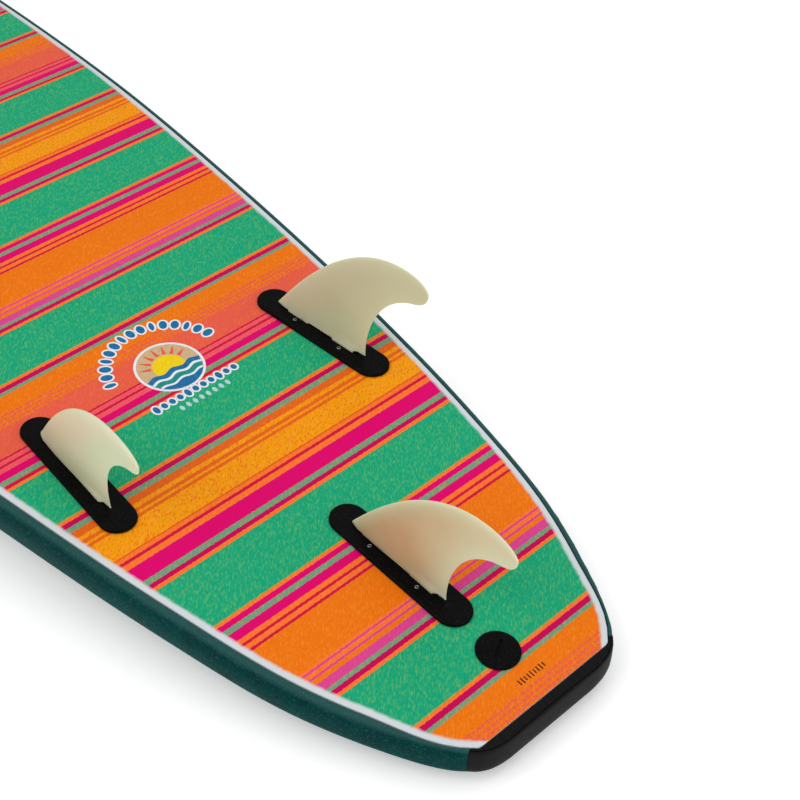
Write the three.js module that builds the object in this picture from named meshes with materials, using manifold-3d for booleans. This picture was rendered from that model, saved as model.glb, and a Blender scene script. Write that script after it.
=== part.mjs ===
// Soft-top surfboard with three fins, lying on its deck with the bottom face up.
// Millimetres. +X runs towards the tail, +Y towards the left rail, +Z out of the bottom face.
// A station is a distance from the tail end, and a depth is measured down from the bottom face.
import * as THREE from 'three';
import { mergeVertices } from 'three/addons/utils/BufferGeometryUtils.js';
import Module from 'manifold-3d';

const wasm = await Module();
wasm.setup();

// ---------------------------------------------------------------- driving dimensions

const LENGTH = 2438; // tail end to nose tip
const GAP = 0.3; // between pieces that touch

// plan outline of the widest line, as station and half width
const TAIL_FLAT = 48; // half width of the straight tail end
const TAIL_CORNER = [0, 74]; // where the lines of the tail end and the rail cross
const RAIL_LINE = [
  [11, 85], [26, 99.5], [61, 121], [147, 158], [278, 189], [450, 218], [680, 248], [950, 277],
  [1260, 292.5], [1600, 284], [1880, 258], [2130, 212], [2300, 157], [2395, 98], [2430, 46],
];
const SPINE_TAIL = 45; // the surfaces close onto a line between these two stations
const SPINE_NOSE = 2250;

const TAIL_ROCKER = 67; // lift of the bottom's tail end over TAIL_ROCKER_RUN
const TAIL_ROCKER_RUN = 1000;
const NOSE_ROCKER = 86;
const NOSE_ROCKER_START = 1200;
const NOSE_ROCKER_POWER = 2.3;

const THICKNESS = 83; // at the thickest station
const THICKEST = 1150;
const TAIL_FOIL = { drop: 0.5, power: 2.6 };
const NOSE_FOIL = { drop: 0.69, power: 3 };
const DECK_POWER = 3.1; // squareness of the crowned deck

const WIDEST_DEPTH = 19; // depth of the widest line
const RAIL_EDGE_RUN = 10; // how far in from the widest line the flat bottom begins
const TAIL_EDGE_RUN = 2.5;
const TAIL_EDGE_DEPTH = 3;
const RAIL_WALL = 3; // upright strip at the widest line

const SKIN = 6; // foam skin of the deck and the rails
const SLICK = 2.2; // printed plastic sheet on the bottom
const BACKING = 3.1; // foam sheet under the slick
const CORE_TOP = SLICK + GAP + BACKING + GAP;
const DECK_SEAM = 30; // the deck skin starts this far in from the rail
const DECK_TONGUE = 50; // half width of the deck skin where it reaches the tail
const DECK_JOIN = 118; // the deck skin around the leash plug is its own piece, up to this station

const BUMPER = 14; // length of the tail bumper on the rails
const FLANGE = 11; // and on the bottom, up to the slick
const GROOVE = { inset: 1.6, width: 1.2, depth: 1.1 };

const STRINGER = 4;
const STRINGER_SPREAD = 95; // side stringers from the centre line
const STRINGER_END = 95; // the centre stringer stops at this station, ahead of the leash plug

const PLATE = { length: 163, width: 35, top: 3.8, foot: 0.45, chamfer: 2 };
const BOX = { length: 150, width: 30, depth: 24 };
const TAB = { length: 27, thickness: 6, bottom: -10, clear: 0.35 };
const TAB_CENTRES = [28, -30]; // along the plate, towards the tail
const SCREW = { radius: 2.3, length: 6.2, offset: 7, head: 3.3, tilt: 12, hex: 1.2 };

const FIN = { thick: 8, base: 4.6, sections: 15 };
const FIN_STATIONS = {
  centre: { station: 181, side: 0, toe: 0, cant: 0 },
  left: { station: 437, side: 145.6, toe: 4.8, cant: 4 },
  right: { station: 437, side: -145.6, toe: -4.8, cant: -4 },
};

const LEASH_STATION = 65;
const CAP = { radius: 19.5, rim: 1.3, crown: 3.4, stem: 5, slot: [21.5, 2.6, 1.7], turn: -51 };
const PLUG = { depth: 47.4, flange: 19, thick: 2.5, cup: 13, wall: 2, well: 14, post: 8, bore: 5.3 };
const LEASH_BAR = 4;

// ---------------------------------------------------------------- colours

const material = (colour, roughness, metalness = 0) =>
  new THREE.MeshStandardMaterial({ color: colour, roughness, metalness });

const FINISH = {
  slick: material(0xe8842a, 0.4),
  foamSheet: material(0xdfe3e2, 0.9),
  core: material(0xf2f2ee, 0.9),
  wood: material(0xc79a62, 0.7),
  foamSkin: material(0x0b4542, 0.85),
  blackPlastic: material(0x17181a, 0.5),
  fin: material(0xcfc79d, 0.35),
  steel: material(0xb4b6b8, 0.3, 1),
};

// ---------------------------------------------------------------- solids

function toSolid(geometry) {
  const bare = geometry.clone();
  bare.deleteAttribute('normal');
  bare.deleteAttribute('uv');
  const merged = mergeVertices(bare, 1e-4);
  const corners = merged.index.array;
  const triangles = [];
  for (let i = 0; i < corners.length; i += 3) {
    const [a, b, c] = corners.slice(i, i + 3);
    if (a !== b && b !== c && c !== a) triangles.push(a, b, c);
  }
  return new wasm.Manifold(new wasm.Mesh({
    numProp: 3,
    vertProperties: Float32Array.from(merged.attributes.position.array),
    triVerts: Uint32Array.from(triangles),
  }));
}

function toGeometry(solid) {
  const mesh = solid.getMesh();
  const geometry = new THREE.BufferGeometry();
  geometry.setAttribute('position', new THREE.BufferAttribute(mesh.vertProperties, 3));
  geometry.setIndex(new THREE.BufferAttribute(mesh.triVerts, 1));
  const faceted = geometry.toNonIndexed();
  faceted.computeVertexNormals();
  return faceted;
}

// closed skin over a stack of rings with equal counts; the first and last ring may be capped
function ringStack(rings, capped) {
  const count = rings[0].length;
  const positions = rings.flat().flatMap((p) => [p.x, p.y, p.z]);
  const faces = [];
  for (let r = 0; r + 1 < rings.length; r += 1) {
    for (let i = 0; i < count; i += 1) {
      const a = r * count + i;
      const b = r * count + ((i + 1) % count);
      faces.push(a, b, b + count, a, b + count, a + count);
    }
  }
  if (capped) {
    const last = (rings.length - 1) * count;
    for (let i = 1; i + 1 < count; i += 1) {
      faces.push(0, i + 1, i);
      faces.push(last, last + i, last + i + 1);
    }
  }
  const geometry = new THREE.BufferGeometry();
  geometry.setAttribute('position', new THREE.Float32BufferAttribute(positions, 3));
  geometry.setIndex(faces);
  return geometry;
}

function block(low, high) {
  const size = new THREE.Vector3().subVectors(high, low);
  const geometry = new THREE.BoxGeometry(size.x, size.y, size.z);
  geometry.translate((low.x + high.x) / 2, (low.y + high.y) / 2, (low.z + high.z) / 2);
  return geometry;
}

const box = (x0, y0, z0, x1, y1, z1) =>
  toSolid(block(new THREE.Vector3(x0, y0, z0), new THREE.Vector3(x1, y1, z1)));

// solid of revolution about Z from [radius, height] pairs, lowest first
function turned(profile, segments = 32) {
  const points = profile.map(([radius, height]) => new THREE.Vector2(radius, height));
  const geometry = new THREE.LatheGeometry(points, segments);
  geometry.rotateX(Math.PI / 2);
  return toSolid(geometry);
}

const rod = (radius, low, high, segments = 24) =>
  turned([[0, low], [radius, low], [radius, high], [0, high]], segments);

const placed = (solid, matrix) => solid.transform(matrix.elements);

// ---------------------------------------------------------------- the board's surfaces

const FAR = 400; // beyond every surface
const xOf = (station) => LENGTH / 2 - station;
const smooth = THREE.MathUtils.smoothstep;
const { lerp } = THREE.MathUtils;

function rocker(station) {
  const tail = Math.max(0, TAIL_ROCKER_RUN + FLANGE - station) / TAIL_ROCKER_RUN;
  const noseRun = LENGTH - NOSE_ROCKER_START;
  const nose = Math.max(0, station - NOSE_ROCKER_START) / noseRun;
  return TAIL_ROCKER * tail ** 2 + NOSE_ROCKER * nose ** NOSE_ROCKER_POWER;
}

const rockerSlope = (station) => (rocker(station - 1) - rocker(station + 1)) / 2;

function thickness(station) {
  const towardsTail = station < THICKEST;
  const foil = towardsTail ? TAIL_FOIL : NOSE_FOIL;
  const run = towardsTail ? THICKEST : LENGTH - THICKEST;
  const t = Math.abs(station - THICKEST) / run;
  return THICKNESS * (1 - foil.drop * t ** foil.power);
}

const deckSlope = (station) =>
  rockerSlope(station) + (thickness(station - 1) - thickness(station + 1)) / 2;

const widestDepth = (station) => Math.min(WIDEST_DEPTH, thickness(station) / 3);
const tailBlend = (station) => smooth(station, 4, 30);
const edgeRun = (station) => lerp(TAIL_EDGE_RUN, RAIL_EDGE_RUN, tailBlend(station));
const edgeDepth = (station) =>
  lerp(TAIL_EDGE_DEPTH, widestDepth(station) - RAIL_WALL, tailBlend(station));

// the widest line as { station, side, towards the spine, run to the spine }
function planOutline() {
  const tail = new THREE.Vector2(0, TAIL_FLAT);
  const corner = new THREE.QuadraticBezierCurve(
    tail,
    new THREE.Vector2(...TAIL_CORNER),
    new THREE.Vector2(...RAIL_LINE[0]),
  );
  const left = RAIL_LINE.map(([station, side]) => new THREE.Vector3(station, side, 0));
  const right = RAIL_LINE.map(([station, side]) => new THREE.Vector3(station, -side, 0));
  const rail = new THREE.CatmullRomCurve3([
    ...left,
    new THREE.Vector3(LENGTH, 0, 0),
    ...right.reverse(),
  ]);
  const half = [[0, 0], [0, TAIL_FLAT / 2], ...corner.getPoints(4).slice(0, 4).map((p) => [p.x, p.y])];
  const around = rail.getPoints(4 * RAIL_LINE.length).map((p) => [p.x, p.y]);
  const mirrored = half.slice(1).reverse().map(([station, side]) => [station, -side]);
  return [...half, ...around, ...mirrored].map(([station, side]) => {
    const start = new THREE.Vector2(station, side);
    const spine = new THREE.Vector2(THREE.MathUtils.clamp(station, SPINE_TAIL, SPINE_NOSE), 0);
    const inwards = spine.clone().sub(start);
    const run = inwards.length();
    return { start, inwards: inwards.normalize(), run };
  });
}

const OUTLINE = planOutline();

function surfacePoint(line, inset, depthAt) {
  const plan = line.start.clone().addScaledVector(line.inwards, inset);
  return new THREE.Vector3(xOf(plan.x), plan.y, -rocker(plan.x) - depthAt(plan.x));
}

const ring = (insetOf, depthAt) =>
  OUTLINE.map((line) => surfacePoint(line, insetOf(line), depthAt));

// whole board shape, pulled in by rail at the sides, by top at the bottom face and by deck below
function boardShape({ rail, top, deck, edge }) {
  const rings = [1, 0.5].map((f) => ring((line) => lerp(rail, line.run, f), () => top));
  const corner = [0, 30, 60, 90];
  for (const degrees of corner) {
    const angle = THREE.MathUtils.degToRad(degrees);
    rings.push(OUTLINE.map((line) => {
      const run = edge ?? edgeRun(line.start.x);
      const inset = rail + run * (1 - Math.sin(angle));
      const foot = (station) => Math.max(edgeDepth(station), top + TAIL_EDGE_DEPTH);
      const depthAt = (station) => lerp(foot(station), top, Math.cos(angle));
      return surfacePoint(line, inset, depthAt);
    }));
  }
  for (const f of [0, 0.03, 0.09, 0.19, 0.34, 0.55, 0.78, 1]) {
    const round = (1 - (1 - f) ** DECK_POWER) ** (1 / DECK_POWER);
    const depthAt = (station) => lerp(widestDepth(station), thickness(station) - deck, round);
    rings.push(ring((line) => lerp(rail, line.run, f), depthAt));
  }
  return toSolid(ringStack(rings.reverse(), false));
}

// sheet that follows the bottom face between two depths
function bottomSheet(inset, top, bottom) {
  const insetOf = (f) => (line) => lerp(inset, line.run, f);
  const rings = [
    ring(insetOf(1), () => top),
    ring(insetOf(0.5), () => top),
    ring(insetOf(0), () => top),
    ring(insetOf(0), () => bottom),
    ring(insetOf(0.5), () => bottom),
    ring(insetOf(1), () => bottom),
  ];
  return toSolid(ringStack(rings.reverse(), false));
}

// upright prism inside the plan outline
function planPrism(inset) {
  const upright = (height) => OUTLINE.map((line) => {
    const plan = line.start.clone().addScaledVector(line.inwards, inset);
    return new THREE.Vector3(xOf(plan.x), plan.y, height);
  });
  return toSolid(ringStack([upright(-FAR), upright(FAR)], true));
}

// slab of the whole board between two stations
const between = (from, to) => box(xOf(to), -FAR, -FAR, xOf(from), FAR, FAR);
const besides = (low, high) => box(-LENGTH, low, -FAR, LENGTH, high, FAR);

// ---------------------------------------------------------------- parts at a fitting

// frame on the bottom face, square to it unless another slope is given, with X towards the tail
function fittingFrame({ station, side = 0, toe = 0, slope = rockerSlope(station) }) {
  const frame = new THREE.Group();
  frame.position.set(xOf(station), side, -rocker(station));
  frame.rotation.set(0, Math.atan(slope), THREE.MathUtils.degToRad(toe), 'YXZ');
  frame.updateMatrix();
  return frame;
}

// pill-shaped ring, length along X
function pill(length, width, height, arc = 8) {
  const radius = width / 2;
  const reach = length / 2 - radius;
  const points = [];
  for (const end of [1, -1]) {
    for (let i = 0; i <= arc; i += 1) {
      const angle = Math.PI * (i / arc - 0.5) + (end < 0 ? Math.PI : 0);
      points.push(new THREE.Vector3(
        end * reach + radius * Math.cos(angle),
        radius * Math.sin(angle),
        height,
      ));
    }
  }
  return points;
}

const pillSolid = (levels) =>
  toSolid(ringStack(levels.map(([length, width, height]) => pill(length, width, height)), true));

function screwMatrix(centre) {
  const matrix = new THREE.Matrix4().makeRotationX(-THREE.MathUtils.degToRad(SCREW.tilt));
  return matrix.setPosition(centre, -SCREW.offset, SCREW.head);
}

// flanged plate with the two tab sockets under it; the sockets and screws lean with the fin
function finPlate(leaning) {
  const { length, width, top, foot, chamfer } = PLATE;
  const edge = chamfer * 2;
  let plate = pillSolid([
    [length, width, foot],
    [length, width, top - chamfer * 0.8],
    [length - edge, width - edge, top],
  ]);
  plate = plate.add(pillSolid([
    [BOX.length, BOX.width, -BOX.depth],
    [BOX.length, BOX.width, foot + 1],
  ]));
  for (const centre of TAB_CENTRES) {
    const reach = TAB.length / 2 + TAB.clear;
    const half = TAB.thickness / 2 + TAB.clear;
    const socket = box(centre - reach, -half, TAB.bottom - 1, centre + reach, half, FAR);
    plate = plate.subtract(placed(socket, leaning));
    const bore = rod(SCREW.radius + GAP, -SCREW.length - GAP, 20);
    plate = plate.subtract(placed(placed(bore, screwMatrix(centre)), leaning));
  }
  return plate;
}

// leading and trailing edges of the fin, both from the base to the tip, in X and height
function finEdges() {
  const point = (x, z) => new THREE.Vector2(x, z);
  const tip = point(116.5, 112);
  const leading = new THREE.CurvePath();
  leading.add(new THREE.CubicBezierCurve(
    point(-59, FIN.base), point(-33, 47), point(16, 123.5), point(81, 127)));
  leading.add(new THREE.CubicBezierCurve(point(81, 127), point(101, 128), point(116, 122), tip));
  const trailing = new THREE.CurvePath();
  trailing.add(new THREE.CubicBezierCurve(
    point(55, FIN.base), point(49.5, 44), point(66, 85), point(101, 96)));
  trailing.add(new THREE.CubicBezierCurve(point(101, 96), point(109, 98.5), point(116.5, 103), tip));
  return { leading, trailing };
}

// outer and inner are the shares of the thickness on either side of the tab's mid plane
function finSolid(outer, inner) {
  const { leading, trailing } = finEdges();
  const chord = [0, 0.04, 0.14, 0.32, 0.55, 0.8, 1];
  const bulge = (c) => (c < 0.32
    ? Math.sqrt(1 - (1 - c / 0.32) ** 2)
    : 1 - ((c - 0.32) / 0.68) ** 1.7) * 0.86 + 0.14;
  const rings = [];
  for (let k = 0; k <= FIN.sections; k += 1) {
    const t = Math.sin((Math.PI / 2) * (k / FIN.sections)) ** 1.15;
    const rise = Math.min(t, 0.995);
    const front = leading.getPoint(rise);
    const back = trailing.getPoint(rise);
    const thick = FIN.thick * lerp(1, 0.26, rise);
    const station = (c, share) => {
      const p = front.clone().lerp(back, c);
      return new THREE.Vector3(p.x, share * thick * bulge(c), p.y);
    };
    const outside = chord.map((c) => station(c, outer));
    const inside = chord.slice().reverse().map((c) => station(c, -inner));
    rings.push([...outside, ...inside]);
  }
  let fin = toSolid(ringStack(rings.reverse(), true));
  for (const centre of TAB_CENTRES) {
    const reach = TAB.length / 2;
    const half = TAB.thickness / 2;
    fin = fin.add(box(centre - reach, -half, TAB.bottom, centre + reach, half, FIN.base + 1));
  }
  return fin;
}

function grubScrew() {
  const shank = rod(SCREW.radius, -SCREW.length, 0, 16);
  return shank.subtract(rod(SCREW.hex, -3, 1, 6));
}

// disc square to the bottom face, on a stem that leans with the plug
function leashCap(stemTurn) {
  const { radius, rim, crown, stem, slot } = CAP;
  const low = GAP + 0.05;
  let cap = turned([
    [0, low], [radius, low], [radius, rim], [radius - 2.2, crown - 0.9], [radius - 6, crown - 0.2],
    [0, crown],
  ]);
  cap = cap.add(placed(rod(stem, -22, low + 0.5), stemTurn));
  const [long, wide, deep] = slot;
  const cut = box(-long / 2, -wide / 2, crown - deep, long / 2, wide / 2, FAR);
  const turn = new THREE.Matrix4().makeRotationZ(THREE.MathUtils.degToRad(CAP.turn));
  return cap.subtract(placed(cut, turn));
}

// deck-side plug: a flange and a cup that open on the deck, on a bored post up to the cap
function leashPlug() {
  const { depth, flange, thick, cup, wall, well, post, bore } = PLUG;
  const floor = -depth + well;
  return turned([
    [bore, -4], [bore, floor + wall + 3], [0, floor + wall + 3], [0, floor], [cup - wall, floor],
    [cup - wall, -depth], [flange, -depth], [flange, -depth + thick], [cup, -depth + thick],
    [cup, floor + wall], [post, floor + wall], [post, -4], [bore, -4],
  ]);
}

// room that a fitting needs in the layers of the board
const plateRoom = () => pillSolid([
  [BOX.length + 2 * GAP, BOX.width + 2 * GAP, -BOX.depth - GAP],
  [BOX.length + 2 * GAP, BOX.width + 2 * GAP, 30],
]);

function leashRoom() {
  const { depth, flange, thick, cup, wall, well, post } = PLUG;
  return turned([
    [0, -depth - 40], [flange + GAP, -depth - 40], [flange + GAP, -depth + thick + GAP],
    [cup + GAP, -depth + thick + GAP], [cup + GAP, -depth + well + wall + GAP],
    [post + GAP, -depth + well + wall + GAP], [post + GAP, 20], [0, 20],
  ]);
}

// ---------------------------------------------------------------- assembly

const board = new THREE.Group();

function addPiece(name, shape, finish, parent = board) {
  const mesh = new THREE.Mesh(toGeometry(shape), finish);
  mesh.name = name;
  parent.add(mesh);
  return mesh;
}

const capFrame = fittingFrame({ station: LEASH_STATION });
const plugFrame = fittingFrame({ station: LEASH_STATION, slope: deckSlope(LEASH_STATION) });
const finFrames = Object.entries(FIN_STATIONS).map(([name, spec]) => {
  const frame = fittingFrame(spec);
  const lean = new THREE.Group();
  lean.rotation.x = -THREE.MathUtils.degToRad(spec.cant);
  lean.updateMatrix();
  frame.add(lean);
  return { name, spec, frame, lean };
});

const rooms = [
  placed(leashRoom(), plugFrame.matrix),
  ...finFrames.map(({ frame }) => placed(plateRoom(), frame.matrix)),
];
const withRooms = (solid) => rooms.reduce((rest, room) => rest.subtract(room), solid);

// layers
const outer = boardShape({ rail: 0, top: 0, deck: 0 });
const coreShape = boardShape({ rail: SKIN, top: CORE_TOP, deck: SKIN, edge: 4.5 });
const hollow = boardShape({
  rail: SKIN - GAP,
  top: CORE_TOP - GAP,
  deck: SKIN - GAP,
  edge: 4.5,
});
const mouth = bottomSheet(RAIL_EDGE_RUN - GAP, -FAR / 10, CORE_TOP + 1);
const ahead = (station) => between(station, LENGTH + 50);

addPiece(
  'bottom_slick',
  withRooms(bottomSheet(RAIL_EDGE_RUN, 0, SLICK).intersect(ahead(FLANGE + GAP))),
  FINISH.slick,
);
addPiece(
  'bottom_backing',
  withRooms(bottomSheet(RAIL_EDGE_RUN, SLICK + GAP, SLICK + GAP + BACKING)
    .intersect(ahead(FLANGE + GAP))),
  FINISH.foamSheet,
);

// tail bumper
const grooveRing = boardShape({ rail: GROOVE.inset, top: -FAR / 10, deck: SKIN, edge: 0.1 })
  .subtract(planPrism(GROOVE.inset + GROOVE.width))
  .intersect(box(-LENGTH, -FAR, -rocker(0) - GROOVE.depth, LENGTH, FAR, FAR));
const bumper = outer
  .subtract(hollow)
  .subtract(mouth.intersect(ahead(FLANGE)))
  .subtract(grooveRing)
  .intersect(between(-50, BUMPER));
addPiece('tail_bumper', bumper, FINISH.blackPlastic);

// foam skins
const skins = withRooms(outer.subtract(hollow).subtract(mouth).intersect(ahead(BUMPER + GAP)));
const deckPlan = planPrism(DECK_SEAM)
  .add(box(xOf(60), -DECK_TONGUE, -FAR, xOf(0), DECK_TONGUE, FAR));
const deckPlanGrown = planPrism(DECK_SEAM - GAP)
  .add(box(xOf(60), -DECK_TONGUE - GAP, -FAR, xOf(0), DECK_TONGUE + GAP, FAR));
const deckSkin = skins.intersect(deckPlan);
addPiece('deck_skin', deckSkin.intersect(ahead(DECK_JOIN + GAP)), FINISH.foamSkin);
addPiece('deck_skin_tail', deckSkin.intersect(between(-50, DECK_JOIN)), FINISH.foamSkin);
const railSkins = skins.subtract(deckPlanGrown);
addPiece('rail_skin_left', railSkins.intersect(besides(GAP / 2, FAR)), FINISH.foamSkin);
addPiece('rail_skin_right', railSkins.intersect(besides(-FAR, -GAP / 2)), FINISH.foamSkin);

// core strips with the stringers between them
const core = withRooms(coreShape);
const half = STRINGER / 2;
const inside = STRINGER_SPREAD - half - GAP;
const outside = STRINGER_SPREAD + half + GAP;
addPiece(
  'stringer_centre',
  core.intersect(besides(-half, half)).intersect(ahead(STRINGER_END + GAP)),
  FINISH.wood,
);
for (const [name, sign] of [['left', 1], ['right', -1]]) {
  const lane = (from, to) =>
    besides(Math.min(sign * from, sign * to), Math.max(sign * from, sign * to));
  const behind = lane(GAP / 2, inside).intersect(between(-50, STRINGER_END));
  addPiece(
    `core_inner_${name}`,
    core.intersect(lane(half + GAP, inside).add(behind)),
    FINISH.core,
  );
  addPiece(`core_outer_${name}`, core.intersect(lane(outside, FAR)), FINISH.core);
  addPiece(
    `stringer_${name}`,
    core.intersect(lane(STRINGER_SPREAD - half, STRINGER_SPREAD + half)),
    FINISH.wood,
  );
}

// fins, each with its plate and two screws
for (const { name, spec, frame, lean } of finFrames) {
  board.add(frame);
  const inwards = spec.side < 0 ? -1 : 1;
  const flip = new THREE.Matrix4().makeScale(1, inwards, 1);
  const leaning = new THREE.Matrix4().multiplyMatrices(lean.matrix, flip);
  const shares = spec.side === 0 ? [0.5, 0.5] : [0.62, 0.38];
  addPiece(`fin_plate_${name}`, finPlate(leaning), FINISH.blackPlastic, frame);
  addPiece(`fin_${name}`, placed(finSolid(...shares), flip), FINISH.fin, lean);
  TAB_CENTRES.forEach((centre, index) => {
    const place = new THREE.Matrix4().multiplyMatrices(flip, screwMatrix(centre));
    const end = index === 0 ? 'rear' : 'front';
    addPiece(`grub_screw_${name}_${end}`, placed(grubScrew(), place), FINISH.steel, lean);
  });
}

// leash plug
board.add(capFrame, plugFrame);
const stemTurn = new THREE.Matrix4().makeRotationY(plugFrame.rotation.y - capFrame.rotation.y);
addPiece('leash_cap', leashCap(stemTurn), FINISH.blackPlastic, capFrame);
addPiece('leash_plug', leashPlug(), FINISH.blackPlastic, plugFrame);
const barLength = 2 * (PLUG.cup - PLUG.wall - GAP);
const bar = new THREE.CylinderGeometry(LEASH_BAR / 2, LEASH_BAR / 2, barLength, 16);
bar.translate(0, 0, -PLUG.depth + LEASH_BAR);
addPiece('leash_bar', toSolid(bar), FINISH.steel, plugFrame);

// the origin is under the middle of the board, on the surface that it lies on
board.updateMatrixWorld(true);
const extent = new THREE.Box3().setFromObject(board, true);
board.position.set(-(extent.min.x + extent.max.x) / 2, 0, -extent.min.z);

export default board;
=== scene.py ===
"""Looks of a soft-top surfboard that lies on its deck with its bottom face and three fins up.

The board's surfaces are functions of two lengths in millimetres: the station, measured from the
tail end, and the depth, measured down from the bottom face. Blender objects are in metres.
"""

import math

import bmesh
import bpy
from mathutils import Matrix, Vector, noise
from mathutils.kdtree import KDTree


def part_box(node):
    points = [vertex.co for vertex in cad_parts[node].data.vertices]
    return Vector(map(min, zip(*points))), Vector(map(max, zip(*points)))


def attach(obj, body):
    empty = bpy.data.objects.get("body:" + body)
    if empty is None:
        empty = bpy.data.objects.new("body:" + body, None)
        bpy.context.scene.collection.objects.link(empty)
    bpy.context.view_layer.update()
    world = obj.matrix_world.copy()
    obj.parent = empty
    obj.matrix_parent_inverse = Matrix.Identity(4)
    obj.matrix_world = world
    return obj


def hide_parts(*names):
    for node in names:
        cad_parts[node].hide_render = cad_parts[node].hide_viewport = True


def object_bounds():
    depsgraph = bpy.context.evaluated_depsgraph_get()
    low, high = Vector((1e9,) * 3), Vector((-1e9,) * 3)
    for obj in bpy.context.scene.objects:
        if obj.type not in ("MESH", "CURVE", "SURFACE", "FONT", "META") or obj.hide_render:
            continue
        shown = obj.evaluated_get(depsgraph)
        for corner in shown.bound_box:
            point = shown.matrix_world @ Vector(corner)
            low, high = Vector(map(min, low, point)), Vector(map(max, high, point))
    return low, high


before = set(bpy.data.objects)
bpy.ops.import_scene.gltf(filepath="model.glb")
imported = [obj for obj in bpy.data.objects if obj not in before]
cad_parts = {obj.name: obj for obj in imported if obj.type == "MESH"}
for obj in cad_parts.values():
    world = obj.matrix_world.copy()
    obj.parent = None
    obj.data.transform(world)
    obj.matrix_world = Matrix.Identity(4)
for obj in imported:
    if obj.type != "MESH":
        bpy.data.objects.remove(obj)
cad_low, cad_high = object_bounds()

MM = 0.001

# ------------------------------------------------------------------ driving sizes, in mm

LENGTH = (cad_high.x - cad_low.x) / MM
TAIL_X = cad_high.x
HALF_WIDTH = cad_high.y / MM
FLAT_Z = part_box("bottom_slick")[1].z  # height of the bottom face where it is flat
GAP = 0.3  # between pieces that touch
MERGE = 1e-6  # points closer than this, in metres, are one

TAIL_FLAT = 48  # half width of the straight tail end
TAIL_CORNER = (0, 74)
RAIL_LINE = [
    (11, 85), (26, 99.5), (61, 121), (147, 158), (278, 189), (450, 218), (680, 248), (950, 277),
    (1260, 292.5), (1600, 284), (1880, 258), (2130, 212), (2300, 157), (2395, 98), (2430, 46),
]
SPINE_TAIL = 45  # the surfaces close onto a line between these two stations
SPINE_NOSE = 2250

TAIL_ROCKER = 67
TAIL_ROCKER_RUN = 1000
NOSE_ROCKER = 86
NOSE_ROCKER_START = 1200
NOSE_ROCKER_POWER = 2.3

THICKNESS = 83
THICKEST = 1150
TAIL_FOIL = (0.5, 2.6)
NOSE_FOIL = (0.69, 3)
DECK_POWER = 3.1

WIDEST_DEPTH = 19
RAIL_EDGE_RUN = 10
RAIL_WALL = 3  # upright strip at the widest line
RAIL_WOBBLE = 1.1  # the trimmed foam is this uneven
WOBBLE_SCALE = 0.11
TAIL_EDGE_RUN = 2.5
TAIL_SLICK_INSET = 5.5
TAIL_EDGE_DEPTH = 3

SKIN = 6
SLICK = 2.2
CORE_TOP = 5.9
DECK_SEAM = 30  # the deck skin starts this far in from the rail
DECK_JOIN = 118  # the deck skin round the leash plug is its own piece, up to this station
BUMPER = 14  # length of the tail bumper on the rails
FLANGE = 11  # and on the bottom, up to the slick

PLATE = {"length": 163, "width": 35, "top": 3.8, "foot": 0.45}
BOX = {"length": 150, "width": 30, "depth": 24}
TAB = {"length": 27, "thickness": 6, "bottom": -10, "clear": 0.35}
TAB_CENTRES = (28, -30)
CORNER_STEPS = 4  # of each corner of a rounded box
SCREW = {"radius": 2.3, "length": 6.2, "offset": 7, "head": 3.3, "tilt": 12, "hex": 1.38}
FIN_THICK = 8
FIN_BASE = 4.6
SIDE_TOE = 4.8
SIDE_CANT = 4

CAP = {"radius": 19.5, "rim": 1.3, "crown": 3.4, "stem": 5, "slot": (21.5, 2.6, 1.7), "turn": -62}
PLUG = {"depth": 47.4, "flange": 19, "thick": 2.5, "cup": 13, "wall": 2, "well": 14, "post": 8,
        "bore": 5.3}
LEASH_BAR = 4

# ------------------------------------------------------------------ the board's surfaces


def smooth_step(value, low, high):
    """0 at low and 1 at high, or the other way round where low is the larger."""
    t = min(max((value - low) / (high - low), 0), 1)
    return t * t * (3 - 2 * t)


def lerp(a, b, t):
    return a + (b - a) * t


def rocker(station):
    tail = max(0, TAIL_ROCKER_RUN + FLANGE - station) / TAIL_ROCKER_RUN
    nose = max(0, station - NOSE_ROCKER_START) / (LENGTH - NOSE_ROCKER_START)
    return TAIL_ROCKER * tail**2 + NOSE_ROCKER * nose**NOSE_ROCKER_POWER


def thickness(station):
    drop, power = TAIL_FOIL if station < THICKEST else NOSE_FOIL
    run = THICKEST if station < THICKEST else LENGTH - THICKEST
    return THICKNESS * (1 - drop * (abs(station - THICKEST) / run) ** power)


def widest_depth(station):
    return min(WIDEST_DEPTH, thickness(station) / 3)


def tail_blend(station):
    return smooth_step(station, 4, 30)


def edge_run(station):
    return lerp(TAIL_EDGE_RUN, RAIL_EDGE_RUN, tail_blend(station))


def slick_inset(station):
    """How far in from the widest line the slick's edge lies, less near the tail's corners."""
    return lerp(TAIL_SLICK_INSET, RAIL_EDGE_RUN, smooth_step(station, 20, 95))


def edge_depth(station):
    return lerp(TAIL_EDGE_DEPTH, widest_depth(station) - RAIL_WALL, tail_blend(station))


def place(station, side, depth):
    """The point at a station, a distance from the centre line and a depth, in metres."""
    height = -rocker(station) - depth
    return Vector((TAIL_X - station * MM, side * MM, FLAT_Z + height * MM))


def catmull_rom(points, steps):
    """Centripetal Catmull-Rom curve through the points, with that many steps to a stretch."""
    ends = [2 * points[0] - points[1], *points, 2 * points[-1] - points[-2]]
    curve = []
    for p0, p1, p2, p3 in zip(ends, ends[1:], ends[2:], ends[3:]):
        d0, d1, d2 = (math.sqrt((b - a).length) for a, b in ((p0, p1), (p1, p2), (p2, p3)))
        start = ((p1 - p0) / d0 - (p2 - p0) / (d0 + d1) + (p2 - p1) / d1) * d1
        end = ((p2 - p1) / d1 - (p3 - p1) / (d1 + d2) + (p3 - p2) / d2) * d1
        for step in range(steps):
            t = step / steps
            cubic = 2 * p1 - 2 * p2 + start + end
            square = -3 * p1 + 3 * p2 - 2 * start - end
            curve.append(p1 + start * t + square * t**2 + cubic * t**3)
    return curve + [points[-1]]


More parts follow.
